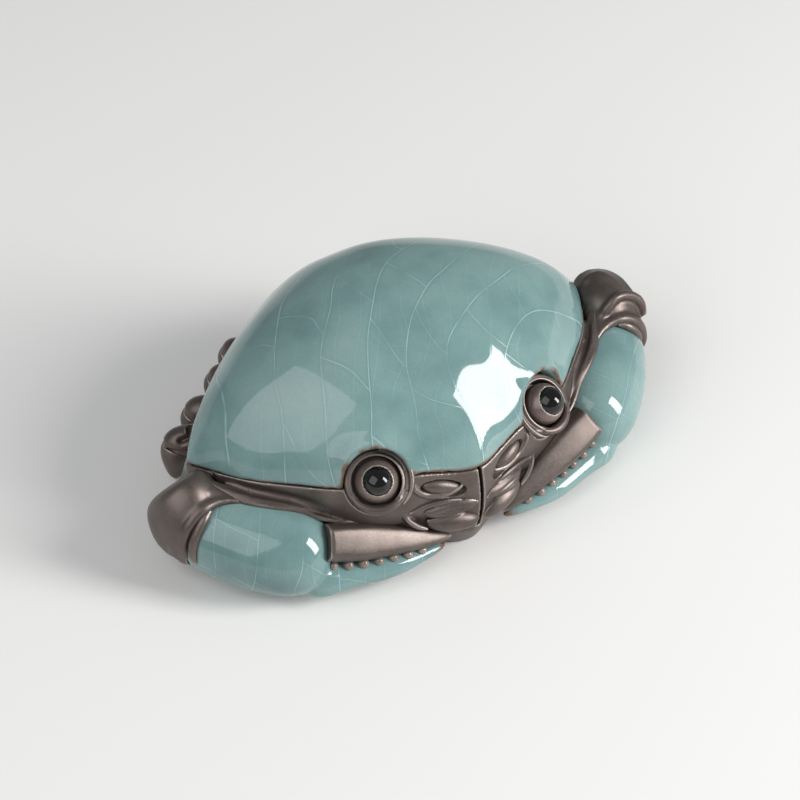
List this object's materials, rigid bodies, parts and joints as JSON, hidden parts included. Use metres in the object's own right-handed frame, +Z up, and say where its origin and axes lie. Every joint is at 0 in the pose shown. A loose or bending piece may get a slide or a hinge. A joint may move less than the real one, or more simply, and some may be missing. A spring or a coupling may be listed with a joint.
{
  "type": "crab figurine",
  "caption": "Glazed crab figurine of dark stoneware, with a domed crackle-glazed shell, large pincers folded before its face, bead eyes and small legs; it stands flat on a table.",
  "frame": {"origin": "centre of the figurine's footprint box, on the table", "axes": "+X to the crab's left, -Y the way it faces, +Z up"},
  "size_m": [0.107, 0.0656, 0.0423],
  "materials": {
    "celadon_glaze": "gloss",
    "stoneware": "satin",
    "eye_clay": "satin",
    "black_glaze": "gloss"
  },
  "bodies": {
    "root": {"hull": "stoneware", "shell": "celadon_glaze", "face_plate_left": "stoneware", "face_plate_right": "stoneware", "eye_socket_left": "stoneware", "eye_socket_right": "stoneware", "eyeball_left": "eye_clay", "eyeball_right": "eye_clay", "pupil_left": "black_glaze", "pupil_right": "black_glaze", "pincer_palm_left": "celadon_glaze", "pincer_palm_right": "celadon_glaze", "pincer_finger_left": "stoneware", "pincer_finger_right": "stoneware", "pincer_teeth_left": "celadon_glaze", "pincer_teeth_right": "celadon_glaze", "feeler_lobe_left": "stoneware", "feeler_lobe_right": "stoneware", "jaw_upper_left": "stoneware", "jaw_upper_right": "stoneware", "jaw_lower_left": "stoneware", "jaw_lower_right": "stoneware", "wrist_collar_left": "stoneware", "wrist_collar_right": "stoneware", "elbow_left": "stoneware", "elbow_right": "stoneware", "leg_1_thigh_left": "stoneware", "leg_1_thigh_right": "stoneware", "leg_1_shin_left": "stoneware", "leg_1_shin_right": "stoneware", "leg_2_thigh_left": "stoneware", "leg_2_thigh_right": "stoneware", "leg_2_shin_left": "stoneware", "leg_2_shin_right": "stoneware", "leg_3_thigh_left": "stoneware", "leg_3_thigh_right": "stoneware", "leg_3_shin_left": "stoneware", "leg_3_shin_right": "stoneware", "leg_4_thigh_left": "stoneware", "leg_4_thigh_right": "stoneware", "leg_4_shin_left": "stoneware", "leg_4_shin_right": "stoneware"}
  },
  "joints": []
}
